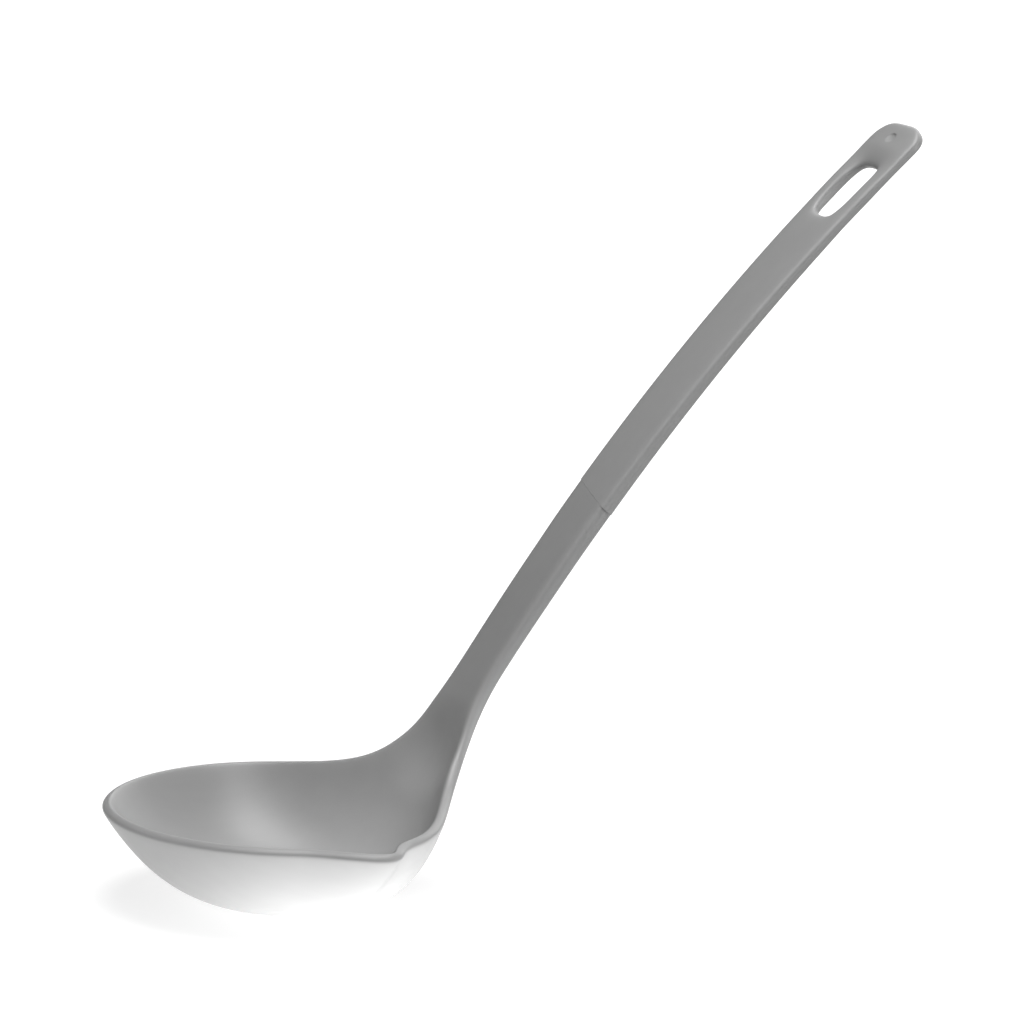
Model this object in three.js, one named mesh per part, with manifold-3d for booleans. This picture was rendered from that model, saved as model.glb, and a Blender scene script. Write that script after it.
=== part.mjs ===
// A spouted ladle. The bowl, neck, shank and tang are one moulding,
// and a grip of two shells closes round the tang.
// Millimetres, +Z up. The origin is the middle of the flat floor under the bowl.
// The handle leans back along +X, and the spout points along -Y.
import * as THREE from "three";
import { mergeVertices } from "three/addons/utils/BufferGeometryUtils.js";
import Module from "manifold-3d";

// Bowl
const RIM_RADIUS = 46.4; // bowl axis to the inner edge of the rim
const BOWL_DEPTH = 22.1; // inside floor to the rim
const FLOOR_RADIUS = 12; // flat floor in the middle
const WALL_SPREAD = 17.2; // how far the wall runs on level beyond the floor
const WALL_ANGLE = 56; // degrees, slope of the wall where it meets the rim
const WALL_CLIMB = 13.5; // how far the rim reaches down with that slope
const BOWL_WALL = 3;
const RIM_BULGE = 1.2; // how far the rounded edge swells beyond the wall

// Spout
const SPOUT_PLACE = -1.7; // bowl axis to the spout's tip, along the handle's direction
const SPOUT_REACH = 8.4; // how far the beak stands out of the round rim
const SPOUT_FRONT = 20; // length of the front flank, along the handle's direction
const SPOUT_BACK = 10; // length of the back flank
const SPOUT_HOLLOW = 2; // power of the back flank's curve
const SPOUT_FADE = 3; // power by which the spout dies away down the wall

// Neck, where the bowl's back narrows and climbs into the shank
const NECK_FOOT = 25; // bowl axis to the foot of the neck
const NECK_SPREAD = 25; // how far the neck's middle runs on level beyond the floor
const NECK_REACH = 54; // bowl axis to the top of the neck
const NECK_RISE = 33.6; // rim to the top of the neck
const NECK_SLOPE = 54.4; // degrees, slope of the handle at the top of the neck
const NECK_LEVEL = 41; // how far the rim runs on level behind the bowl's axis
const NECK_CLIMB = 33.6; // how far the neck's top reaches down with the handle's slope
const NECK_WIDE = 25.7; // how far the rim keeps the bowl's width behind its axis
const NECK_NARROW = 24.2; // how far the neck's top reaches down with the shank's width
const NECK_THICKEN = 1.5; // climb over which the wall grows as thick as the shank, in lengths of the neck
const NECK_SECTION = 44; // bowl axis to where the neck's sections stop growing flatter

// Handle, a gentle arc above the neck
const HANDLE_ARC = 687; // radius of the handle's bend
const SHANK_LENGTH = 52.8; // top of the neck to the grip
const JOINT_SLANT = 18; // degrees, lean of the joint across the handle, lower on the spout's side
const SHANK_WIDTH = 17.2;
const SHANK_THICK = 4.9;
const SHANK_EDGE = 2.2; // width of the rounded edge

// Grip, which widens and thins towards its end
const GRIP_LENGTH = 131.6;
const GRIP_WIDTH = 17.4;
const GRIP_END_WIDTH = 20.4;
const GRIP_THICK = 4.95;
const GRIP_END_THICK = 3.7;
const GRIP_EDGE = 2.4; // width of the rounded edge
const GRIP_END = 8; // length of the rounded end

// Tang, and the pegs that hold it
const TANG_LENGTH = 52;
const TANG_WIDTH = 9.5;
const TANG_THICK = 2;
const TANG_ROOT = 4; // how deep the tang starts inside the shank
const PEG_RADIUS = 2;
const PEG_INSET = 10; // each end of the tang to its peg

// Hanging slot, and the gate mark above it
const SLOT_STRAIGHT = 9.1; // straight run between the slot's round ends
const SLOT_SIDE = 4.3; // grip left on each side of the slot
const SLOT_INSET = 14.9; // end of the grip to the slot
const SLOT_FLARE = 1; // rounding of the slot's edges
const GATE_RADIUS = 1.6;
const GATE_DEPTH = 0.45;
const GATE_INSET = 5.5; // end of the grip to the middle of the gate mark

const FIT = 0.3; // clearance between separate pieces

// Steps of the faceted surfaces
const RING_STEPS = 10; // floor to rim
const NECK_COLUMNS = 12; // across the neck and the shank
const NECK_SIDE_STEPS = 7; // rim from the foot of the neck to the round front
const FRONT_STEPS = 30; // round front of the rim
const FLANK_STEPS = 10; // each flank of the spout
const NECK_STEPS = 9;
const SHANK_STEPS = 6;
const GRIP_STEPS = 14;
const END_STEPS = 8; // round the grip's end
const EDGE_STEPS = 6; // over a rounded edge
const ROUND_STEPS = 20; // round a peg or a slot
const EDGE_SQUARENESS = 2.6; // 2 is a half circle, more is squarer
const HALVINGS = 40; // search for a place on a curve
const MERGE = 1e-4; // points closer than this are one

const PLASTIC = { color: 0x919191, roughness: 0.42, metalness: 0 };

const wasm = await Module();
wasm.setup();

// Solids

function solidFrom(geometry) {
  const bare = geometry.clone();
  bare.deleteAttribute("normal");
  bare.deleteAttribute("uv");
  const merged = mergeVertices(bare, MERGE);
  const mesh = new wasm.Mesh({
    numProp: 3,
    vertProperties: new Float32Array(merged.attributes.position.array),
    triVerts: new Uint32Array(merged.index.array),
  });
  return new wasm.Manifold(mesh);
}

function geometryFrom(points, faces) {
  const geometry = new THREE.BufferGeometry().setFromPoints(points);
  geometry.setIndex(faces.flat());
  return geometry;
}

function meshFrom(name, solid) {
  const { vertProperties, triVerts } = solid.getMesh();
  const geometry = new THREE.BufferGeometry();
  geometry.setAttribute("position", new THREE.BufferAttribute(vertProperties, 3));
  geometry.setIndex(new THREE.BufferAttribute(triVerts, 1));
  geometry.computeVertexNormals();
  const mesh = new THREE.Mesh(geometry, new THREE.MeshStandardMaterial(PLASTIC));
  mesh.name = name;
  return mesh;
}

// A closed solid through rings of points that turn right-handed about the way from first to last.
function loft(rings) {
  const size = rings[0].length;
  const last = (rings.length - 1) * size;
  const points = rings.flat();
  const faces = [];
  for (let start = 0; start < last; start += size) {
    for (let side = 0; side < size; side++) {
      const a = start + side;
      const b = start + ((side + 1) % size);
      faces.push([a, b, b + size], [a, b + size, a + size]);
    }
  }
  const middle = (ring) => ring.reduce((sum, p) => sum.add(p), new THREE.Vector3()).divideScalar(size);
  const foot = points.push(middle(rings[0])) - 1;
  const head = points.push(middle(rings.at(-1))) - 1;
  for (let side = 0; side < size; side++) {
    const next = (side + 1) % size;
    faces.push([foot, next, side], [head, last + side, last + next]);
  }
  return solidFrom(geometryFrom(points, faces));
}

// Share of a superellipse's two half-axes at an angle from the first one.
function superellipse(angle) {
  const power = 2 / EDGE_SQUARENESS;
  const along = Math.sign(Math.cos(angle)) * Math.abs(Math.cos(angle)) ** power;
  return [along, Math.abs(Math.sin(angle)) ** power];
}

// Curves in the plane of the handle, with x along it and y up, and of the rim seen from above

const rimHeight = BOWL_WALL + BOWL_DEPTH;
const slope = THREE.MathUtils.degToRad(NECK_SLOPE);
const neckTop = new THREE.Vector2(NECK_REACH, rimHeight + NECK_RISE);
const shankFlat = SHANK_WIDTH / 2 - SHANK_EDGE;
const jointSteepness = Math.tan(THREE.MathUtils.degToRad(JOINT_SLANT));

// A curve that leaves its start level, for a while, and meets its end at an angle, after a lead.
function sweep(start, hold, end, angle, lead) {
  const leaving = new THREE.Vector2(start.x + hold, start.y);
  const arriving = new THREE.Vector2(end.x - lead * Math.cos(angle), end.y - lead * Math.sin(angle));
  return new THREE.CubicBezierCurve(start, leaving, arriving, end);
}

// The height of a curve at x, where x grows all along the curve.
function heightAt(curve, x) {
  let low = 0;
  let high = 1;
  for (let halving = 0; halving < HALVINGS; halving++) {
    const middle = (low + high) / 2;
    if (curve.getPoint(middle).x < x) low = middle;
    else high = middle;
  }
  return curve.getPoint(low).y;
}

const wallCurve = sweep(
  new THREE.Vector2(FLOOR_RADIUS, 0),
  WALL_SPREAD,
  new THREE.Vector2(RIM_RADIUS, BOWL_DEPTH),
  THREE.MathUtils.degToRad(WALL_ANGLE),
  WALL_CLIMB,
);
const neckCentre = sweep(
  new THREE.Vector2(FLOOR_RADIUS, BOWL_WALL),
  NECK_SPREAD,
  neckTop,
  slope,
  NECK_CLIMB,
);
const neckEdge = sweep(new THREE.Vector2(0, rimHeight), NECK_LEVEL, neckTop, slope, NECK_CLIMB);
const neckOutline = sweep(
  new THREE.Vector2(0, RIM_RADIUS),
  NECK_WIDE,
  new THREE.Vector2(NECK_REACH, shankFlat),
  0,
  NECK_NARROW,
);

function wallHeight(radius) {
  return radius > FLOOR_RADIUS ? heightAt(wallCurve, radius) : 0;
}

// Half the width of the bowl and neck between the inner edges of the rim.
function halfWidth(x) {
  return x > 0 ? heightAt(neckOutline, x) : Math.sqrt(Math.max(RIM_RADIUS ** 2 - x ** 2, 0));
}

// Height of the inside of the bowl and neck: a turned bowl in front, and behind it sections
// that keep the turned bowl's shape between the neck's middle and its edges.
function insideHeight(x, y) {
  if (x <= 0) return BOWL_WALL + wallHeight(Math.hypot(x, y));
  const across = Math.min(Math.abs(y) / halfWidth(x), 1);
  const back = Math.min(x, NECK_SECTION) / RIM_RADIUS;
  const around = Math.sqrt(back ** 2 + (1 - back ** 2) * across ** 2);
  const lowest = wallHeight(back * RIM_RADIUS);
  const share = (wallHeight(around * RIM_RADIUS) - lowest) / (BOWL_DEPTH - lowest);
  const middle = x > FLOOR_RADIUS ? heightAt(neckCentre, x) : BOWL_WALL;
  return THREE.MathUtils.lerp(middle, heightAt(neckEdge, x), share);
}

// How far the spout pushes the rim out: a long swell in front of its tip and a short hollow behind.
function beak(x) {
  const past = x - SPOUT_PLACE;
  if (past < 0) return SPOUT_REACH * THREE.MathUtils.smoothstep(past, -SPOUT_FRONT, 0);
  return SPOUT_REACH * Math.max(1 - past / SPOUT_BACK, 0) ** SPOUT_HOLLOW;
}

// The handle's frame

// A place on the handle: along its bend from the top of the neck, across it, and out of its middle.
function onHandle(along, across, out) {
  const angle = slope - along / HANDLE_ARC;
  const x = HANDLE_ARC * (Math.sin(slope) - Math.sin(angle));
  const z = HANDLE_ARC * (Math.cos(angle) - Math.cos(slope));
  const startX = neckTop.x + (SHANK_THICK / 2) * Math.sin(slope);
  const startZ = neckTop.y - (SHANK_THICK / 2) * Math.cos(slope);
  return new THREE.Vector3(
    startX + x - out * Math.sin(angle),
    across,
    startZ + z + out * Math.cos(angle),
  );
}

function handleTangent(along) {
  const angle = slope - along / HANDLE_ARC;
  return new THREE.Vector3(Math.cos(angle), 0, Math.sin(angle));
}

// A frame with x along the handle, y across it and z out of its front face.
function handleFrame(along, out) {
  const angle = slope - along / HANDLE_ARC;
  const turn = new THREE.Matrix4().makeRotationY(-angle);
  return turn.setPosition(onHandle(along, 0, out));
}

function rectangleOnHandle(along, halfAcross, halfThick) {
  const corners = [[1, -1], [1, 1], [-1, 1], [-1, -1]];
  return corners.map(([across, out]) => onHandle(along, across * halfAcross, out * halfThick));
}

// A straight bar that follows the handle's bend.
function handleBar(from, to, halfAcross, halfThick) {
  const rings = [];
  for (let step = 0; step <= GRIP_STEPS; step++) {
    const along = THREE.MathUtils.lerp(from, to, step / GRIP_STEPS);
    rings.push(rectangleOnHandle(along, halfAcross, halfThick));
  }
  return loft(rings);
}

// Bowl, neck and shank

// The columns of the bowl's surface: where each one meets the rim, or the foot of the neck, from above.
function bowlColumns() {
  const columns = [];
  const footWidth = halfWidth(NECK_FOOT);
  for (let column = 0; column <= NECK_COLUMNS; column++) {
    const across = (2 * column) / NECK_COLUMNS - 1;
    columns.push(new THREE.Vector2(NECK_FOOT, across * footWidth));
  }
  for (let step = 1; step < NECK_SIDE_STEPS; step++) {
    const x = NECK_FOOT * (1 - step / NECK_SIDE_STEPS);
    columns.push(new THREE.Vector2(x, halfWidth(x)));
  }
  const spoutFrom = SPOUT_PLACE - SPOUT_FRONT;
  const spoutTo = SPOUT_PLACE + SPOUT_BACK;
  const spoutStart = Math.PI + Math.acos(-spoutFrom / RIM_RADIUS);
  for (let step = 0; step < FRONT_STEPS; step++) {
    const angle = THREE.MathUtils.lerp(Math.PI / 2, spoutStart, step / FRONT_STEPS);
    columns.push(new THREE.Vector2(Math.cos(angle), Math.sin(angle)).multiplyScalar(RIM_RADIUS));
  }
  const nearRim = (from, to, steps) => {
    for (let step = 0; step < steps; step++) {
      const x = THREE.MathUtils.lerp(from, to, step / steps);
      columns.push(new THREE.Vector2(x, -halfWidth(x)));
    }
  };
  nearRim(spoutFrom, SPOUT_PLACE, FLANK_STEPS);
  nearRim(SPOUT_PLACE, spoutTo, FLANK_STEPS);
  nearRim(spoutTo, NECK_FOOT, NECK_SIDE_STEPS);
  return columns;
}

// The inside of the bowl, carried on up the front of the neck and shank, as a surface with an open edge.
function insideSurface() {
  const points = [new THREE.Vector3(0, 0, BOWL_WALL)];
  const faces = [];
  const thickness = [BOWL_WALL];
  const bulge = [RIM_BULGE];
  const lean = [new THREE.Vector3()];
  const place = (point, towardsShank, rowLean) => {
    lean.push(rowLean);
    const blend = THREE.MathUtils.smoothstep(towardsShank, 0, NECK_THICKEN);
    thickness.push(THREE.MathUtils.lerp(BOWL_WALL, SHANK_THICK, blend));
    bulge.push(THREE.MathUtils.lerp(RIM_BULGE, SHANK_EDGE, blend));
    return points.push(point) - 1;
  };
  const join = (a, b, c, d) => faces.push([a, b, c], [a, c, d]);

  const columns = bowlColumns();
  const count = columns.length;
  const floorShare = FLOOR_RADIUS / RIM_RADIUS;
  let ring = [];
  for (let step = 0; step <= RING_STEPS; step++) {
    const share = THREE.MathUtils.lerp(floorShare, 1, step / RING_STEPS);
    const next = columns.map(({ x, y }, column) => {
      const push = column > NECK_COLUMNS && y < 0 ? beak(x) * share ** SPOUT_FADE : 0;
      const height = insideHeight(x * share, y * share);
      return place(new THREE.Vector3(x * share, y * share - push, height), 0, new THREE.Vector3());
    });
    for (let column = 0; column < count; column++) {
      const beside = (column + 1) % count;
      if (step > 0) join(ring[column], next[column], next[beside], ring[beside]);
      else faces.push([0, next[column], next[beside]]);
    }
    ring = next;
  }
  const floorPoints = 1 + count;

  const rim = ring.slice(NECK_COLUMNS);
  const farEdge = [];
  const nearEdge = [ring[0]];
  let row = ring.slice(0, NECK_COLUMNS + 1);
  for (let step = 1; step <= NECK_STEPS + SHANK_STEPS; step++) {
    const climb = step / NECK_STEPS;
    const x = THREE.MathUtils.lerp(NECK_FOOT, NECK_REACH, Math.min(climb, 1));
    const up = Math.max(step - NECK_STEPS, 0) / SHANK_STEPS;
    const next = row.map((_, column) => {
      const across = ((2 * column) / NECK_COLUMNS - 1) * halfWidth(x);
      const along = up * (SHANK_LENGTH + jointSteepness * across);
      const point = onHandle(along, across, SHANK_THICK / 2);
      if (up === 0) point.set(x, across, insideHeight(x, across));
      return place(point, climb, handleTangent(along).multiplyScalar(up * jointSteepness));
    });
    for (let column = 0; column < NECK_COLUMNS; column++) {
      join(row[column], next[column], next[column + 1], row[column + 1]);
    }
    nearEdge.push(next[0]);
    farEdge.unshift(next[NECK_COLUMNS]);
    row = next;
  }
  const edge = [...farEdge, ...rim, ...nearEdge];
  return { points, faces, thickness, bulge, lean, floorPoints, edge, end: row };
}

// The surface given its thickness, with a rounded edge all round and a flat end on the shank.
function headSolid() {
  const surface = insideSurface();
  const { points, faces, thickness, bulge, lean, edge, end } = surface;
  const sheet = geometryFrom(points, faces);
  sheet.computeVertexNormals();
  const normals = points.map((point, index) => {
    if (index < surface.floorPoints) return new THREE.Vector3(0, 0, 1);
    return new THREE.Vector3().fromBufferAttribute(sheet.attributes.normal, index);
  });

  const count = points.length;
  const body = [...points];
  points.forEach((point, index) => {
    body.push(point.clone().addScaledVector(normals[index], -thickness[index]));
  });
  const skin = [...faces, ...faces.map(([a, b, c]) => [a + count, c + count, b + count])];

  const arcs = edge.map((index, place) => {
    const before = points[edge[Math.max(place - 1, 0)]];
    const after = points[edge[Math.min(place + 1, edge.length - 1)]];
    const outward = after.clone().sub(before).cross(normals[index]).normalize();
    const middle = points[index].clone().lerp(body[index + count], 0.5);
    const arc = [index];
    for (let step = 1; step < EDGE_STEPS; step++) {
      const [up, out] = superellipse((Math.PI * step) / EDGE_STEPS);
      const point = middle.clone().addScaledVector(normals[index], (up * thickness[index]) / 2);
      const aside = outward.clone().multiplyScalar(out * bulge[index]);
      arc.push(body.push(point.add(aside).addScaledVector(lean[index], aside.y)) - 1);
    }
    return [...arc, index + count];
  });
  for (let place = 0; place + 1 < arcs.length; place++) {
    for (let step = 0; step < EDGE_STEPS; step++) {
      const [a, b] = [arcs[place][step], arcs[place][step + 1]];
      const [d, c] = [arcs[place + 1][step], arcs[place + 1][step + 1]];
      skin.push([a, b, c], [a, c, d]);
    }
  }

  for (let column = 0; column < NECK_COLUMNS; column++) {
    const [a, d] = [end[column], end[column + 1]];
    skin.push([a, a + count, d + count], [a, d + count, d]);
  }
  const farArc = arcs[0];
  const nearArc = arcs.at(-1);
  for (let step = 1; step < EDGE_STEPS; step++) {
    skin.push([farArc[0], farArc[step + 1], farArc[step]]);
    skin.push([nearArc[0], nearArc[step], nearArc[step + 1]]);
  }
  return solidFrom(geometryFrom(body, skin));
}

// Tang, pegs and grip

const gripStart = SHANK_LENGTH + FIT;
const gripEnd = SHANK_LENGTH + GRIP_LENGTH;
const straightEnd = gripEnd - GRIP_END;
const tangEnd = SHANK_LENGTH + TANG_LENGTH;
const pocketHalf = TANG_THICK / 2 + FIT;
const pegPlaces = [SHANK_LENGTH + PEG_INSET, tangEnd - PEG_INSET];

function roundBar(along, radius, from, to) {
  const bar = new THREE.CylinderGeometry(radius, radius, to - from, ROUND_STEPS);
  bar.rotateX(Math.PI / 2);
  bar.applyMatrix4(handleFrame(along, (from + to) / 2));
  return solidFrom(bar);
}

function tangSolid() {
  let tang = handleBar(SHANK_LENGTH - TANG_ROOT, tangEnd, TANG_WIDTH / 2, TANG_THICK / 2);
  for (const place of pegPlaces) {
    tang = tang.subtract(roundBar(place, PEG_RADIUS + FIT, -GRIP_THICK, GRIP_THICK));
  }
  return tang;
}

// Half the grip's width, or half its thickness, at a place along the handle.
function gripHalf(along, startSize, endSize) {
  return THREE.MathUtils.mapLinear(along, gripStart, gripEnd, startSize, endSize) / 2;
}

const gripHalfWidth = (along) => gripHalf(along, GRIP_WIDTH, GRIP_END_WIDTH);
const gripHalfThick = (along) => gripHalf(along, GRIP_THICK, GRIP_END_THICK);

// The section of one shell: flat on the seam, with a rounded edge up each side to its flat face.
function shellSection(along, narrowing, face) {
  const seam = FIT / 2;
  const half = narrowing * gripHalfWidth(along);
  const depth = gripHalfThick(along) - seam;
  const edge = Math.min(GRIP_EDGE, half);
  const sides = [];
  for (let step = 0; step <= EDGE_STEPS; step++) {
    const [out, up] = superellipse((Math.PI / 2) * (step / EDGE_STEPS));
    sides.push([half - edge + edge * out, seam + depth * up]);
  }
  const outline = [...sides, ...sides.map(([across, out]) => [-across, out]).reverse()];
  const slant = THREE.MathUtils.clamp((straightEnd - along) / (straightEnd - gripStart), 0, 1);
  return outline.map(([across, out]) => {
    const aside = across * face;
    return onHandle(along + slant * jointSteepness * aside, aside, out * face);
  });
}

function shellBlank(face) {
  const sections = [];
  for (let step = 0; step < GRIP_STEPS; step++) {
    const along = THREE.MathUtils.lerp(gripStart, straightEnd, step / GRIP_STEPS);
    sections.push(shellSection(along, 1, face));
  }
  for (let step = 0; step < END_STEPS; step++) {
    const [narrowing, ahead] = superellipse((Math.PI / 2) * (step / END_STEPS));
    sections.push(shellSection(straightEnd + GRIP_END * ahead, narrowing, face));
  }
  return loft(sections);
}

// A straight-sided slot with round ends, opening out in a rounded edge on both faces.
function slotCutter() {
  const outerEnd = gripEnd - SLOT_INSET;
  const radius = gripHalfWidth(outerEnd) - SLOT_SIDE;
  const straight = SLOT_STRAIGHT / 2;
  const place = outerEnd - radius - straight;
  const frame = handleFrame(place, 0);
  const surface = gripHalfThick(place);
  const flare = Math.min(SLOT_FLARE, surface - FIT);
  const ringAt = (out, spread) => {
    const ring = [];
    for (let step = 0; step < ROUND_STEPS; step++) {
      const angle = (2 * Math.PI * (step + 0.5)) / ROUND_STEPS - Math.PI / 2;
      const end = step < ROUND_STEPS / 2 ? straight : -straight;
      const along = end + (radius + spread) * Math.cos(angle);
      const across = (radius + spread) * Math.sin(angle);
      ring.push(new THREE.Vector3(along, across, out).applyMatrix4(frame));
    }
    return ring;
  };
  const lip = [[GRIP_THICK, flare]];
  for (let step = 0; step <= EDGE_STEPS; step++) {
    const angle = (Math.PI / 2) * (step / EDGE_STEPS);
    const out = surface - flare * (1 - Math.cos(angle));
    lip.push([out, flare * (1 - Math.sin(angle))]);
  }
  const below = lip.map(([out, spread]) => ringAt(-out, spread));
  const above = lip.map(([out, spread]) => ringAt(out, spread)).reverse();
  return loft([...below, ...above]);
}

function gateCutter() {
  const ball = (GATE_RADIUS ** 2 + GATE_DEPTH ** 2) / (2 * GATE_DEPTH);
  const sphere = new THREE.SphereGeometry(ball, ROUND_STEPS, ROUND_STEPS);
  const place = gripEnd - GATE_INSET;
  sphere.applyMatrix4(handleFrame(place, gripHalfThick(place) + ball - GATE_DEPTH));
  return solidFrom(sphere);
}

function shellSolid(face) {
  const pocketReach = [SHANK_LENGTH - TANG_ROOT, tangEnd + FIT];
  const pocket = handleBar(...pocketReach, TANG_WIDTH / 2 + FIT, pocketHalf);
  return shellBlank(face).subtract(pocket).subtract(slotCutter());
}

function backShellSolid() {
  let shell = shellSolid(-1);
  for (const place of pegPlaces) {
    const root = (pocketHalf + gripHalfThick(place)) / 2;
    shell = shell.add(roundBar(place, PEG_RADIUS, -root, pocketHalf - FIT));
  }
  return shell;
}

const ladle = new THREE.Group();
ladle.name = "spouted_ladle";
ladle.add(meshFrom("bowl_and_shank", headSolid().add(tangSolid())));
ladle.add(meshFrom("grip_front_shell", shellSolid(1).subtract(gateCutter())));
ladle.add(meshFrom("grip_back_shell", backShellSolid()));

export default ladle;
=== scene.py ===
# %% [markdown]
# # A spouted ladle
# A grey moulded ladle for soup and sauce. One moulding is the bowl with its spout, neck and
# shank, and two thin shells close round its tang as a grip. The frame brings these three
# solids in facets, at their real size. Each one is made again here, in the same place, with
# a smooth surface and a plastic finish.

# %% Load the frame
import math

import bmesh
import bpy
from mathutils import Matrix, Vector


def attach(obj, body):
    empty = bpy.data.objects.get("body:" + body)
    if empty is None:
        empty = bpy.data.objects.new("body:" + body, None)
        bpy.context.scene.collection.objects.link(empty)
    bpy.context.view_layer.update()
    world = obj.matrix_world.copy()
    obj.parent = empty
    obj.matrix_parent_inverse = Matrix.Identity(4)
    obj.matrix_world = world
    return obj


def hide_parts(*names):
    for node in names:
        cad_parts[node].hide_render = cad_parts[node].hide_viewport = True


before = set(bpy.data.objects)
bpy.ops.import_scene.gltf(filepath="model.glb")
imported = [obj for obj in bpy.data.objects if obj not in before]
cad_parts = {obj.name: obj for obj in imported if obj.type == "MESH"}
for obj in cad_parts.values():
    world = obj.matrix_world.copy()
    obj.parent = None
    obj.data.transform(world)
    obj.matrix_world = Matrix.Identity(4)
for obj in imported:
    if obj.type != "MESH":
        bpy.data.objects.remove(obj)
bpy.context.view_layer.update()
scene = bpy.context.scene
scene.view_settings.view_transform = "Standard"


def in_mm(lengths):
    """Lengths in millimetres, rounded for a print."""
    return [round(1000 * length, 1) for length in lengths]


print("nodes:", sorted(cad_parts))

# %% [markdown]
# ## Camera
# The photograph is taken with a long lens from a little above the rim, so that the far side of
# the bowl shows over the near one. A camera can be turned by angles, but three axes are plainer
# here: the way it looks, and what is right and up for it. The last small turn is its roll.

# %% Camera
LENS = 281.25  # mm
SENSOR = 36.0  # mm
VIEW_TURN = math.radians(31)  # round from the ladle's side, towards the front of the bowl
VIEW_HEIGHT = math.radians(11.69)
VIEW_ROLL = math.radians(1.69)
VIEW_DISTANCE = 2.07265
VIEW_TARGET = Vector((0.06301, 0, 0.09709))
VIEW_END = 20  # nothing beyond this is drawn

away = Vector((
    math.sin(VIEW_TURN) * math.cos(VIEW_HEIGHT),
    math.cos(VIEW_TURN) * math.cos(VIEW_HEIGHT),
    -math.sin(VIEW_HEIGHT),
))
level = Vector((math.cos(VIEW_TURN), -math.sin(VIEW_TURN), 0))
upright = level.cross(away)
camera_right = level * math.cos(VIEW_ROLL) + upright * math.sin(VIEW_ROLL)
camera_up = upright * math.cos(VIEW_ROLL) - level * math.sin(VIEW_ROLL)

bpy.ops.object.camera_add()
camera = bpy.context.object
camera.data.lens = LENS
camera.data.sensor_width = SENSOR
camera.data.clip_end = VIEW_END
turn = Matrix((camera_right, camera_up, -away)).transposed().to_4x4()
camera.matrix_world = Matrix.Translation(VIEW_TARGET - VIEW_DISTANCE * away) @ turn
scene.camera = camera
print("camera at", [round(part, 3) for part in camera.location])

# %% [markdown]
# ## Tools for the bench
# An operator works on whatever is selected, so each step first says which piece is on the bench.
# Vertices, edges and faces are picked by where they lie. A cutter is a spare solid that is taken
# away, or joined on, with a Boolean modifier that is applied at once.

# %% Open, close and pick
def put_on_bench(piece):
    """Selects one piece alone and makes it the active one."""
    bpy.ops.object.select_all(action="DESELECT")
    piece.select_set(True)
    bpy.context.view_layer.objects.active = piece


def open_mesh(piece):
    """Goes into edit mode on one piece, with all of it selected."""
    put_on_bench(piece)
    bpy.ops.object.mode_set(mode="EDIT")
    bpy.ops.mesh.select_mode(type="VERT")
    bpy.ops.mesh.select_all(action="SELECT")


def close_mesh():
    bpy.ops.object.mode_set(mode="OBJECT")


def pick(piece, kind, wanted):
    """Selects the vertices, edges or faces that a test wants, and says how many they are."""
    bpy.ops.mesh.select_mode(type=kind)
    bpy.ops.mesh.select_all(action="DESELECT")
    mesh = bmesh.from_edit_mesh(piece.data)
    mesh.normal_update()
    parts = {"VERT": mesh.verts, "EDGE": mesh.edges, "FACE": mesh.faces}[kind]
    picked = [part for part in parts if wanted(part)]
    for part in picked:
        part.select_set(True)
    bmesh.update_edit_mesh(piece.data)
    return len(picked)


# %% Modifiers and cutters
FULL_CREASE = 1


def apply_modifier(piece, kind, **settings):
    put_on_bench(piece)
    modifier = piece.modifiers.new(kind.lower(), kind)
    for name, value in settings.items():
        setattr(modifier, name, value)
    bpy.ops.object.modifier_apply(modifier=modifier.name)


def cut(piece, cutter, operation="DIFFERENCE"):
    """Takes a cutter out of a piece, or joins it on, and throws the cutter away."""
    apply_modifier(piece, "BOOLEAN", operation=operation, object=cutter, solver="EXACT")
    bpy.data.objects.remove(cutter)


def settle(piece):
    """Moves a piece's place and size into its mesh."""
    put_on_bench(piece)
    bpy.ops.object.transform_apply(location=True, rotation=True, scale=True)


# %% [markdown]
# ## Bowl, neck and shank
# The bowl is a turned shape in front, but its back is drawn out into a neck and its rim into a
# beak, so no primitive comes close. The solid of the frame already has this shape, in facets.
# A copy of it is welded, and its triangles are joined back into the four-sided faces that
# Subdivision Surface likes. The corners at the end of the shank and on the tang stay crisp with
# full creases, and the spout's ridge gets a partial one, so that it is sharp at the tip and still
# moulded. Two levels of subdivision then round the bowl and the rim.

# %% Cage of the head
WELD = 1e-6
QUAD_BEND = math.radians(40)  # how far two triangles may lean and still be joined
QUAD_SKEW = math.radians(90)
CORNER_ANGLE = math.radians(60)

head = bpy.data.objects.new("ladle_head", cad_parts["bowl_and_shank"].data.copy())
scene.collection.objects.link(head)
open_mesh(head)
bpy.ops.mesh.customdata_custom_splitnormals_clear()
bpy.ops.mesh.remove_doubles(threshold=WELD)
bpy.ops.mesh.tris_convert_to_quads(face_threshold=QUAD_BEND, shape_threshold=QUAD_SKEW)
bpy.ops.mesh.select_mode(type="EDGE")
bpy.ops.mesh.select_all(action="DESELECT")
bpy.ops.mesh.edges_select_sharp(sharpness=CORNER_ANGLE)
bpy.ops.transform.edge_crease(value=FULL_CREASE)
close_mesh()
four_sided = sum(len(face.vertices) == 4 for face in head.data.polygons)
print("head cage:", len(head.data.polygons), "faces,", four_sided, "with four sides")

# %% Ridge of the spout
RIDGE_CREASE = 0.7
RIDGE_LEAN = (0.022, 0.048)  # the ridge runs forward by this share of its way out
RIDGE_START = -0.030  # from here outwards, the ridge is drawn sharper


def on_ridge(edge):
    """Whether an edge runs along the middle of the spout."""
    places = [corner.co for corner in edge.verts]
    if any(place.y >= RIDGE_START for place in places):
        return False
    return all(RIDGE_LEAN[0] < place.x / place.y < RIDGE_LEAN[1] for place in places)


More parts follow.
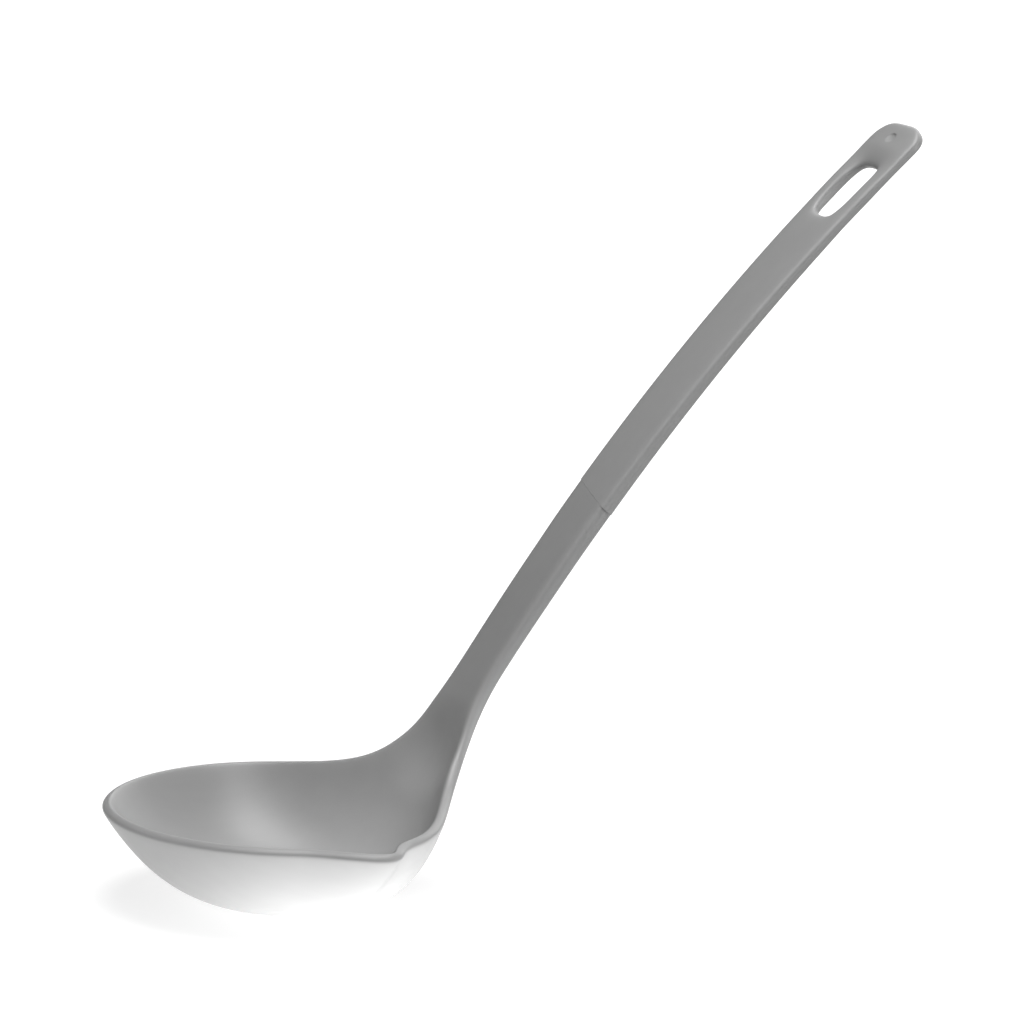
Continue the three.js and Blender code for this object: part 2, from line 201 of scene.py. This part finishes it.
open_mesh(head)
ridge_edges = pick(head, "EDGE", on_ridge)
bpy.ops.transform.edge_crease(value=RIDGE_CREASE)
close_mesh()
print("ridge:", ridge_edges, "edges")

# %% Round the head
HEAD_LEVELS = 2

apply_modifier(head, "SUBSURF", levels=HEAD_LEVELS, render_levels=HEAD_LEVELS)
print("head:", len(head.data.polygons), "faces")

# %% [markdown]
# ## Soft neck
# The edges of the neck are softer than those of the shank, and its front is slightly hollow where
# it leaves the bowl. A brush in sculpt mode could do both, but a script has no hand to guide it.
# A Smooth modifier that reads a vertex group does the first: the weights rise about the height of
# the rim and fall again before the joint, so that the bowl's wall and the joint stay as they are.
# For the hollow, a few points are pushed in with proportional editing, which takes their neighbours
# along.

# %% Soft edges of the neck
NECK_FADE_IN = (0.021, 0.030)  # heights between which the neck's edges turn soft
NECK_FADE_OUT = (0.086, 0.094)  # and crisp again, before the joint
NECK_STROKES = 45
STROKE_SHARE = 0.5  # how far a stroke moves a point towards the middle of its neighbours


def ramp(value, first, last):
    """Nought before the first place and one after the last, and even between them."""
    return min(max((value - first) / (last - first), 0), 1)


neck = head.vertex_groups.new(name="neck")
softened = 0
for corner in head.data.vertices:
    height = corner.co.z
    weight = ramp(height, *NECK_FADE_IN) * (1 - ramp(height, *NECK_FADE_OUT))
    neck.add([corner.index], weight, "REPLACE")
    softened += weight > 0
apply_modifier(
    head, "SMOOTH", factor=STROKE_SHARE, iterations=NECK_STROKES, vertex_group=neck.name
)
print("neck:", softened, "points softened")

# %% Hollow of the neck
HOLLOW_PLACE = Vector((0.0415, 0, 0.0358))
HOLLOW_PATCH = 0.002  # the points within this are pushed all the way
HOLLOW_PUSH = (0.0017, 0, -0.0008)
HOLLOW_REACH = 0.0145  # the push fades out over this


def in_hollow(corner):
    return (corner.co - HOLLOW_PLACE).length < HOLLOW_PATCH


open_mesh(head)
hollowed = pick(head, "VERT", in_hollow)
bpy.ops.transform.translate(
    value=HOLLOW_PUSH,
    use_proportional_edit=True,
    use_proportional_connected=True,
    proportional_edit_falloff="SMOOTH",
    proportional_size=HOLLOW_REACH,
)
close_mesh()
put_on_bench(head)
bpy.ops.object.shade_smooth_by_angle(angle=CORNER_ANGLE)
print("hollow:", hollowed, "points pushed in")

# %% [markdown]
# ## Grip
# The grip is a flat bar that bows with the handle and widens and thins towards its end. It is soft
# all over: its edges, the two strips beside the hanging slot and the slot's lips run into the faces
# without a line. It is moulded in two shells that meet along the middle of its edges. Bevels on a
# bar would leave lines, so each shell starts as a coarse cage for Subdivision Surface, straight and
# flat, and is bowed last. Lengths along it are counted from its joint with the shank.

# %% Sizes of the grip
SHANK_LENGTH = 0.0528
GRIP_LENGTH = 0.1316
GRIP_HALF_WIDTH = 0.0087
GRIP_END_HALF_WIDTH = 0.0102
GRIP_HALF_THICK = 0.002475
GRIP_END_HALF_THICK = 0.00205
HAIRLINE = 0.00003  # gap left at the joint and at the seam

bar_start = SHANK_LENGTH + HAIRLINE
bar_length = SHANK_LENGTH + GRIP_LENGTH - bar_start
print("grip:", round(1000 * bar_length, 1), "mm long")

# %% [markdown]
# ## Cage of a shell
# A plane is cut by bisect into columns and rows, which lie closer where the shape changes, and is
# opened at the slot. Subdivision would leave the handle's end and the slot too square, so their
# corners are drawn in, and then the plane is extruded. One end of the slot slopes out into the face
# as a shallow dish: in front the upper end, and at the back the lower one.

# %% Rows and columns
SLOT_START = 0.0970
SLOT_LENGTH = 0.0197
SLOT_HALF_WIDTH = 0.0058
SLOT_CORNER = 0.0062  # length of the slot's round ends
LIP_REACH = 0.0048  # how far the slot's ends are felt in the faces
GATE_PLACE = 0.1256
GATE_HALF = 0.0021  # half the side of the face that takes the gate mark
JOINT_HOLD = 0.003  # the first row, close to the joint
ROW_STEP = 0.015

slot_end = SLOT_START + SLOT_LENGTH
rows = [JOINT_HOLD]
while rows[-1] + 2 * ROW_STEP < SLOT_START:
    rows.append(rows[-1] + ROW_STEP)
rows += [SLOT_START - LIP_REACH, SLOT_START, SLOT_START + SLOT_CORNER]
rows += [slot_end - SLOT_CORNER, slot_end, slot_end + LIP_REACH]
rows += [GATE_PLACE - GATE_HALF, GATE_PLACE + GATE_HALF]
columns = (-SLOT_HALF_WIDTH, -GATE_HALF, GATE_HALF, SLOT_HALF_WIDTH)
print("rows in mm:", in_mm(rows))
print("columns in mm:", in_mm(columns))


# %% Flat grid
def in_slot(face):
    middle = face.calc_center_median()
    return SLOT_START < middle.x < slot_end and abs(middle.y) < SLOT_HALF_WIDTH


def flat_grid(name):
    """A plane of the grip's size, cut into rows and columns and opened at the slot."""
    bpy.ops.mesh.primitive_plane_add(size=1, location=(bar_length / 2, 0, 0))
    cage = bpy.context.object
    cage.name = name
    cage.scale = (bar_length, 2 * GRIP_END_HALF_WIDTH, 1)
    settle(cage)
    open_mesh(cage)
    for row in rows:
        bpy.ops.mesh.select_all(action="SELECT")
        bpy.ops.mesh.bisect(plane_co=(row, 0, 0), plane_no=(1, 0, 0))
    for column in columns:
        bpy.ops.mesh.select_all(action="SELECT")
        bpy.ops.mesh.bisect(plane_co=(0, column, 0), plane_no=(0, 1, 0))
    pick(cage, "FACE", in_slot)
    bpy.ops.mesh.delete(type="FACE")
    close_mesh()
    return cage


# %% Corners drawn in
SLOT_PULL = (0.0009, 0.0010)  # how far the slot's corners are drawn in, along and across
END_PULL = (0.0008, 0.0037)  # and those of the handle's end
END_NARROW = 0.7  # how much closer together the end's other points lie
TINY = 1e-6


def at_slot_corner(corner, place, side):
    edge = side * SLOT_HALF_WIDTH
    return abs(corner.co.x - place) < TINY and abs(corner.co.y - edge) < TINY


def at_end_corner(corner, side):
    return corner.co.x > bar_length - TINY and corner.co.y * side > GRIP_END_HALF_WIDTH - TINY


def inside_end(corner):
    return corner.co.x > bar_length - TINY and abs(corner.co.y) < SLOT_HALF_WIDTH + TINY


def draw_corners_in(cage):
    open_mesh(cage)
    for side in (-1, 1):
        pick(cage, "VERT", lambda corner: at_end_corner(corner, side))
        bpy.ops.transform.translate(value=(-END_PULL[0], -side * END_PULL[1], 0))
        for place, inward in ((SLOT_START, 1), (slot_end, -1)):
            pick(cage, "VERT", lambda corner: at_slot_corner(corner, place, side))
            bpy.ops.transform.translate(value=(inward * SLOT_PULL[0], -side * SLOT_PULL[1], 0))
    pick(cage, "VERT", inside_end)
    bpy.ops.transform.resize(value=(1, END_NARROW, 1), center_override=(bar_length, 0, 0))
    close_mesh()


# %% Thickness and dish
DISH_DROP = 0.0014  # how far the lip is lowered
DISH_PUSH = 0.0006  # and pushed back, away from the slot's middle


def on_lip(corner, place):
    """Whether a point of the outer face lies on the edge of one of the slot's ends."""
    near = abs(corner.co.x - place) < SLOT_PULL[0] + TINY
    return near and corner.co.z > TINY and abs(corner.co.y) < SLOT_HALF_WIDTH + TINY


def thicken(cage, face):
    """Extrudes the grid to half the grip's thickness, and lowers one end of the slot."""
    open_mesh(cage)
    bpy.ops.mesh.extrude_region_move(TRANSFORM_OT_translate={"value": (0, 0, GRIP_HALF_THICK)})
    dished_end = slot_end if face > 0 else SLOT_START
    pick(cage, "VERT", lambda corner: on_lip(corner, dished_end))
    bpy.ops.transform.translate(value=(face * DISH_PUSH, 0, -DISH_DROP))
    bpy.ops.mesh.select_all(action="SELECT")
    bpy.ops.mesh.normals_make_consistent(inside=False)
    close_mesh()


# %% [markdown]
# ## Gate mark
# Plastic flows into a mould through a gate, and where it is broken off, a small round mark stays:
# here a pit in the front, near the handle's end. The cage has a square face for it. Two insets in
# that face, the second with depth, come out round once they are subdivided.

# %% Gate mark
GATE_INSET = 0.0003
GATE_RIM = 0.0010
GATE_DEPTH = 0.0006
GATE_SHIFT = 0.0006  # the pit's floor lies nearer to the handle's end
FACING = 0.5  # a face whose normal has more of z than this counts as level


def at_gate(face):
    middle = face.calc_center_median()
    inside = abs(middle.x - GATE_PLACE) < GATE_HALF and abs(middle.y) < GATE_HALF
    return inside and face.normal.z > FACING


def press_gate_mark(cage):
    """Insets the face over the gate and pushes its middle in."""
    open_mesh(cage)
    pick(cage, "FACE", at_gate)
    bpy.ops.mesh.inset(thickness=GATE_INSET)
    bpy.ops.mesh.inset(thickness=GATE_RIM, depth=-GATE_DEPTH)
    bpy.ops.transform.translate(value=(GATE_SHIFT, 0, 0))
    close_mesh()


# %% [markdown]
# ## Rounding, pocket and pegs
# Three levels of subdivision round the cage, and full creases keep the seam and the joint sharp.
# Inside the grip lies the tang of the shank. The shells would run through it, so a bar with a
# little room round the tang is cut out of each, and two pegs are joined to the back shell, which
# reach through holes in the tang. The cuts come after the rounding and stay crisp.

# %% Round the cage
SHELL_LEVELS = 3


def at_seam_or_joint(edge):
    """The outlines that stay sharp: round the seam's flat face, and round the joint's."""
    if all(corner.co.x < TINY for corner in edge.verts):
        return True
    flat = [abs(face.normal.z) > FACING for face in edge.link_faces]
    return all(corner.co.z < TINY for corner in edge.verts) and any(flat) and not all(flat)


def round_cage(cage):
    """Creases the seam and the joint and subdivides, and says how many edges stay sharp."""
    open_mesh(cage)
    sharp = pick(cage, "EDGE", at_seam_or_joint)
    bpy.ops.transform.edge_crease(value=FULL_CREASE)
    close_mesh()
    apply_modifier(cage, "SUBSURF", levels=SHELL_LEVELS, render_levels=SHELL_LEVELS)
    return sharp


# %% Pocket and pegs
TANG_LENGTH = 0.052
TANG_HALF_WIDTH = 0.00475
TANG_HALF_THICK = 0.001
TANG_ROOM = 0.0003
SPARE = 0.001  # how far a cutter stands out of what it cuts
PEG_RADIUS = 0.002
PEG_PLACES = (0.010, 0.042)
PEG_POINTS = 32
PEG_REACH = 0.0009  # how far a peg stands beyond the seam


def pocket_cutter():
    """A bar as large as the tang, with room round it."""
    reach = TANG_LENGTH + TANG_ROOM + SPARE
    bpy.ops.mesh.primitive_cube_add(size=1, location=(reach / 2 - SPARE, 0, 0))
    cutter = bpy.context.object
    cutter.scale = (reach, 2 * (TANG_HALF_WIDTH + TANG_ROOM), 2 * (TANG_HALF_THICK + TANG_ROOM))
    settle(cutter)
    return cutter


def peg(place):
    """A peg that stands on the pocket's floor and reaches through the tang."""
    foot = TANG_HALF_THICK + 2 * TANG_ROOM
    bpy.ops.mesh.primitive_cylinder_add(
        vertices=PEG_POINTS,
        radius=PEG_RADIUS,
        depth=foot + PEG_REACH,
        location=(place, 0, (foot - PEG_REACH) / 2),
    )
    return bpy.context.object


# %% [markdown]
# ## Bow
# The handle follows an arc, and its faces are slightly crowned. Simple Deform could bend a shell,
# but would have to be fitted to the arc by eye. The arc is known, so each point of the straight
# shell is moved to its place by formula: tapered, crowned, leaned to the slant of the joint, and
# bowed.

# %% Bow a shell onto the handle
HANDLE_BEND = 0.687  # radius of the handle's bow
HANDLE_SLOPE = math.radians(54.4)  # at the top of the neck
HANDLE_FOOT = Vector((0.054, 0, 0.0587))  # front of the handle at the top of the neck
SHANK_THICK = 0.0049
JOINT_SLANT = math.tan(math.radians(18))
GRIP_CROWN = 0.0001  # how much the faces fall away towards the edges, at the joint
GRIP_END_CROWN = 0.0006


def on_handle(along, across, out):
    """A place on the bowed handle: along it from the neck, across it, and out of its middle."""
    angle = HANDLE_SLOPE - along / HANDLE_BEND
    out_of_face = Vector((-math.sin(angle), 0, math.cos(angle)))
    foot_out = Vector((-math.sin(HANDLE_SLOPE), 0, math.cos(HANDLE_SLOPE)))
    centre = HANDLE_FOOT - (HANDLE_BEND + SHANK_THICK / 2) * foot_out
    return centre + (HANDLE_BEND + out) * out_of_face + Vector((0, across, 0))


def between(first, last, share):
    return first + (last - first) * share


def bow(shell, face):
    """Tapers, crowns and leans the straight shell, and bows it onto the handle."""
    for corner in shell.data.vertices:
        x, y, z = corner.co
        share = x / bar_length
        aside = y / GRIP_END_HALF_WIDTH
        across = face * aside * between(GRIP_HALF_WIDTH, GRIP_END_HALF_WIDTH, share)
        thick = between(GRIP_HALF_THICK, GRIP_END_HALF_THICK, share)
        crown = between(GRIP_CROWN, GRIP_END_CROWN, share) * aside ** 2
        out = HAIRLINE / 2 + z / GRIP_HALF_THICK * (thick - crown - HAIRLINE / 2)
        along = bar_start + x + JOINT_SLANT * across * (1 - share)
        corner.co = on_handle(along, across, face * out)


# %% Two shells
SMOOTH_ANGLE = math.radians(40)


def open_edges(piece):
    """How many edges of a mesh aren't shared by just two faces."""
    open_mesh(piece)
    bpy.ops.mesh.select_all(action="DESELECT")
    bpy.ops.mesh.select_non_manifold()
    close_mesh()
    return sum(edge.select for edge in piece.data.edges)


shells = {}
for shell_name, face in (("grip_front", 1), ("grip_back", -1)):
    shell = flat_grid(shell_name)
    draw_corners_in(shell)
    thicken(shell, face)
    if face > 0:
        press_gate_mark(shell)
    sharp_edges = round_cage(shell)
    cut(shell, pocket_cutter())
    if face < 0:
        for place in PEG_PLACES:
            cut(shell, peg(place), "UNION")
    bow(shell, face)
    put_on_bench(shell)
    bpy.ops.object.shade_smooth_by_angle(angle=SMOOTH_ANGLE)
    shells[shell_name] = shell
    print(shell_name, "has", len(shell.data.polygons), "faces")
    print(sharp_edges, "edges of its cage are sharp,", open_edges(shell), "of the shell are open")

# %% [markdown]
# ## Plastic
# The ladle is a grey plastic with a satin skin. A flat grey would look like a drawing, so the
# finish has what a moulded part shows close by: a faint cloudiness in the colour, flow lines that
# follow the handle, a skin that is a little duller in places, a faint waviness and a fine grain.
# Each is a noise on Object coordinates, in metres, so it stays on the piece wherever that goes.
# A small class lets the noises be added up like numbers.

# %% Wires
class Wire:
    """An output of a node. Sums of wires and numbers add Math nodes."""

    def __init__(self, tree, socket=None):
        self.tree = tree
        self.socket = socket

    def add(self, kind, inputs, output=0, **settings):
        """Adds a node, and gives the wire from one of its outputs."""
        node = self.tree.nodes.new(kind)
        for name, value in settings.items():
            setattr(node, name, value)
        for name, value in inputs.items():
            if isinstance(value, Wire):
                self.tree.links.new(value.socket, node.inputs[name])
            else:
                node.inputs[name].default_value = value
        return Wire(self.tree, node.outputs[output] if node.outputs else None)

    def sum(self, operation, first, second):
        return self.add("ShaderNodeMath", {0: first, 1: second}, operation=operation)

    def __add__(self, other):
        return self.sum("ADD", self, other)

    __radd__ = __add__

    def __sub__(self, other):
        return self.sum("SUBTRACT", self, other)

    def __rsub__(self, other):
        return self.sum("SUBTRACT", other, self)

    def __mul__(self, other):
        return self.sum("MULTIPLY", self, other)

    __rmul__ = __mul__


def empty_tree(owner):
    """The node tree of a material or world, cleared."""
    owner.use_nodes = True
    owner.node_tree.nodes.clear()
    return Wire(owner.node_tree)


# %% Noises
CLOUD = {"scale": 22, "detail": 3}  # scales are per metre
FLOW = {"scale": 260, "detail": 2}
SKIN = {"scale": 60, "detail": 4}
WAVE = {"scale": 140, "detail": 1}
GRAIN = {"scale": 1900, "detail": 2}
FLOW_TURN = (0, math.radians(45), 0)  # along the handle
FLOW_STRETCH = (0.06, 1, 1)


def noise(place, scale, detail):
    """A noise between minus one and one, about nought."""
    inputs = {"Vector": place, "Scale": scale, "Detail": detail}
    return place.add("ShaderNodeTexNoise", inputs) * 2 - 1


def along_handle(place):
    """The same coordinates, turned and stretched so that a noise runs along the handle."""
    inputs = {"Vector": place, "Rotation": FLOW_TURN, "Scale": FLOW_STRETCH}
    return place.add("ShaderNodeMapping", inputs)


# %% Satin plastic
CLOUD_DEPTH = 0.05
FLOW_DEPTH = 0.03
SKIN_ROUGHNESS = 0.43
SKIN_CHANGE = 0.1
WAVE_HEIGHT = 0.00002
GRAIN_HEIGHT = 0.000006
PLASTIC_IOR = 1.5


def satin_plastic(name, grey):
    material = bpy.data.materials.new(name)
    start = empty_tree(material)
    place = start.add("ShaderNodeTexCoord", {}, output="Object")
    cloud = noise(place, **CLOUD)
    flow = noise(along_handle(place), **FLOW)
    skin = noise(place, **SKIN)
    shade = grey * (1 + CLOUD_DEPTH * cloud + FLOW_DEPTH * flow)
    colour = start.add("ShaderNodeCombineColor", {"Red": shade, "Green": shade, "Blue": shade})
    relief = GRAIN_HEIGHT * noise(place, **GRAIN) + WAVE_HEIGHT * noise(place, **WAVE)
    # a distance of one leaves the relief in metres
    bump = start.add("ShaderNodeBump", {"Height": relief, "Strength": 1.0, "Distance": 1.0})
    surface = start.add("ShaderNodeBsdfPrincipled", {
        "Base Color": colour,
        "Roughness": SKIN_ROUGHNESS + SKIN_CHANGE * skin,
        "Normal": bump,
        "IOR": PLASTIC_IOR,
    })
    start.add("ShaderNodeOutputMaterial", {"Surface": surface})
    return material


# %% Finish of each piece
HEAD_GREY = 0.28
GRIP_GREY = 0.29

head_plastic = satin_plastic("head_satin", HEAD_GREY)
grip_plastic = satin_plastic("grip_satin", GRIP_GREY)
for piece, finish in (
    (head, head_plastic),
    (shells["grip_front"], grip_plastic),
    (shells["grip_back"], grip_plastic),
):
    piece.data.materials.clear()
    piece.data.materials.append(finish)
    print(piece.name, "is", finish.name)

# %% [markdown]
# ## Table
# The ladle stands on a white table that glows under the bowl, as a light pad does, so the underside
# of the bowl is much lighter than its inside and fades out towards the table. The pad has a wide
# pool of light with a brighter one in it, under the spout. What the camera sees of the table is
# plain white with the ladle's soft shadow on it, and Light Path keeps that apart from the light that
# the table gives.

# %% Light Path
def larger(first, second):
    return first.sum("MAXIMUM", first, second)


def seen(start):
    """One for rays that show the table: from the camera, in a reflection or through glass."""
    straight = start.add("ShaderNodeLightPath", {}, output="Is Camera Ray")
    shine = start.add("ShaderNodeLightPath", {}, output="Is Glossy Ray")
    through = start.add("ShaderNodeLightPath", {}, output="Is Transmission Ray")
    return larger(larger(straight, shine), through)


# %% Pools of light
PAD_GLOW = 2.2  # light under the bowl
PAD_RADIUS = 0.135
PAD_PLACE = (-0.02, -0.036, 0)
CORE_GLOW = 3.0  # and its brighter middle, under the spout
CORE_RADIUS = 0.07
CORE_PLACE = (0.008, -0.046, 0)


def away_from(place, centre):
    inputs = {0: place, 1: centre}
    return place.add("ShaderNodeVectorMath", inputs, output="Value", operation="DISTANCE")


def fade(value, reach, change):
    """Goes smoothly through a change while a value goes through its reach."""
    inputs = {
        "Value": value,
        "From Min": reach[0],
        "From Max": reach[1],
        "To Min": change[0],
        "To Max": change[1],
    }
    return value.add("ShaderNodeMapRange", inputs, interpolation_type="SMOOTHSTEP")


def pool(place, centre, radius):
    """One in the middle of a pool of light, and nought at its edge and beyond."""
    return fade(away_from(place, centre), (0, radius), (1, 0))


# %% Table
TABLE_SIZE = 10
TABLE_DROP = 0.0002
TABLE_COLOUR = (0.35, 0.35, 0.35, 1)
TABLE_WHITE = (0.77, 1.0)  # glow that the camera sees, beside the ladle and far behind it
TABLE_REACH = (0.15, 1.0)

bpy.ops.mesh.primitive_plane_add(size=TABLE_SIZE, location=(0, 0, -TABLE_DROP))
table = bpy.context.object
table.name = "table"
settle(table)
table_white = bpy.data.materials.new("table_white")
start = empty_tree(table_white)
place = start.add("ShaderNodeTexCoord", {}, output="Object")
pad = PAD_GLOW * pool(place, PAD_PLACE, PAD_RADIUS)
core = CORE_GLOW * pool(place, CORE_PLACE, CORE_RADIUS)
white = fade(away_from(place, PAD_PLACE), TABLE_REACH, TABLE_WHITE)
shown = seen(start)
glow = shown * white + (1 - shown) * (pad + core)
pale = start.add("ShaderNodeBsdfDiffuse", {"Color": TABLE_COLOUR})
light = start.add("ShaderNodeEmission", {"Strength": glow})
lit = start.add("ShaderNodeAddShader", {0: pale, 1: light})
start.add("ShaderNodeOutputMaterial", {"Surface": lit})
table.data.materials.append(table_white)
print("table:", len(table_white.node_tree.nodes), "nodes in its material")

# %% [markdown]
# ## Light
# Wide round softboxes give the plain soft light of a studio. Two hang above, and their light is the
# pale patch inside the bowl. One stands low on the right and one behind, for the edges. Last comes
# a snoot, a lamp with a narrow tube that throws a small soft spot. It lights the wall of the bowl
# below the neck, which the softboxes leave too dark, and is kept out of reflections. The room
# itself is almost black.

# %% Room
ROOM_LIGHT = 0.02

room = bpy.data.worlds.new("room")
scene.world = room
start = empty_tree(room)
walls = start.add("ShaderNodeBackground", {"Strength": ROOM_LIGHT})
start.add("ShaderNodeOutputWorld", {"Surface": walls})
print("room light:", ROOM_LIGHT)


# %% Softboxes
def softbox(name, way, distance, size, power):
    """A round lamp that looks at the bowl from one way."""
    way = Vector(way).normalized()
    bpy.ops.object.light_add(type="AREA", location=distance * way)
    lamp = bpy.context.object
    lamp.name = name
    lamp.rotation_euler = way.to_track_quat("Z", "Y").to_euler()
    lamp.data.shape = "DISK"
    lamp.data.size = size
    lamp.data.energy = power
    print(name, "gives", power, "W at", [round(part, 2) for part in lamp.location])


softbox("above", way=(-0.2, -0.43, 0.88), distance=1.3, size=1.0, power=5.0)
softbox("top", way=(0.1, -0.08, 1), distance=1.3, size=1.0, power=16)
softbox("right", way=(0.75, -0.65, 0.05), distance=1.6, size=1.0, power=13)
softbox("behind", way=(0.7, 0.55, 0.5), distance=1.6, size=1.4, power=8.5)

# %% Snoot
SNOOT_WAY = Vector((-0.85, -0.15, 0.5)).normalized()
SNOOT_AIM = Vector((0.033, 0.010, 0.010))  # the wall of the bowl below the neck
SNOOT_DISTANCE = 0.7
SNOOT_ANGLE = math.radians(6.9)
SNOOT_RADIUS = 0.03
SNOOT_POWER = 10
SNOOT_SOFTNESS = 1  # its spot fades from the middle outwards

bpy.ops.object.light_add(type="SPOT", location=SNOOT_AIM + SNOOT_DISTANCE * SNOOT_WAY)
snoot = bpy.context.object
snoot.name = "snoot"
snoot.rotation_euler = SNOOT_WAY.to_track_quat("Z", "Y").to_euler()
snoot.data.spot_size = SNOOT_ANGLE
snoot.data.spot_blend = SNOOT_SOFTNESS
snoot.data.shadow_soft_size = SNOOT_RADIUS
snoot.data.energy = SNOOT_POWER
snoot.visible_glossy = False
print("snoot gives", SNOOT_POWER, "W at", [round(part, 2) for part in snoot.location])

# %% [markdown]
# ## Hand over
# Each piece rides on the ladle's one body and stands for its solid, which is hidden.

# %% Hand over
for piece, node, finish in (
    (head, "bowl_and_shank", "head_plastic"),
    (shells["grip_front"], "grip_front_shell", "grip_plastic"),
    (shells["grip_back"], "grip_back_shell", "grip_plastic"),
):
    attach(piece, "root")
    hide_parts(node)
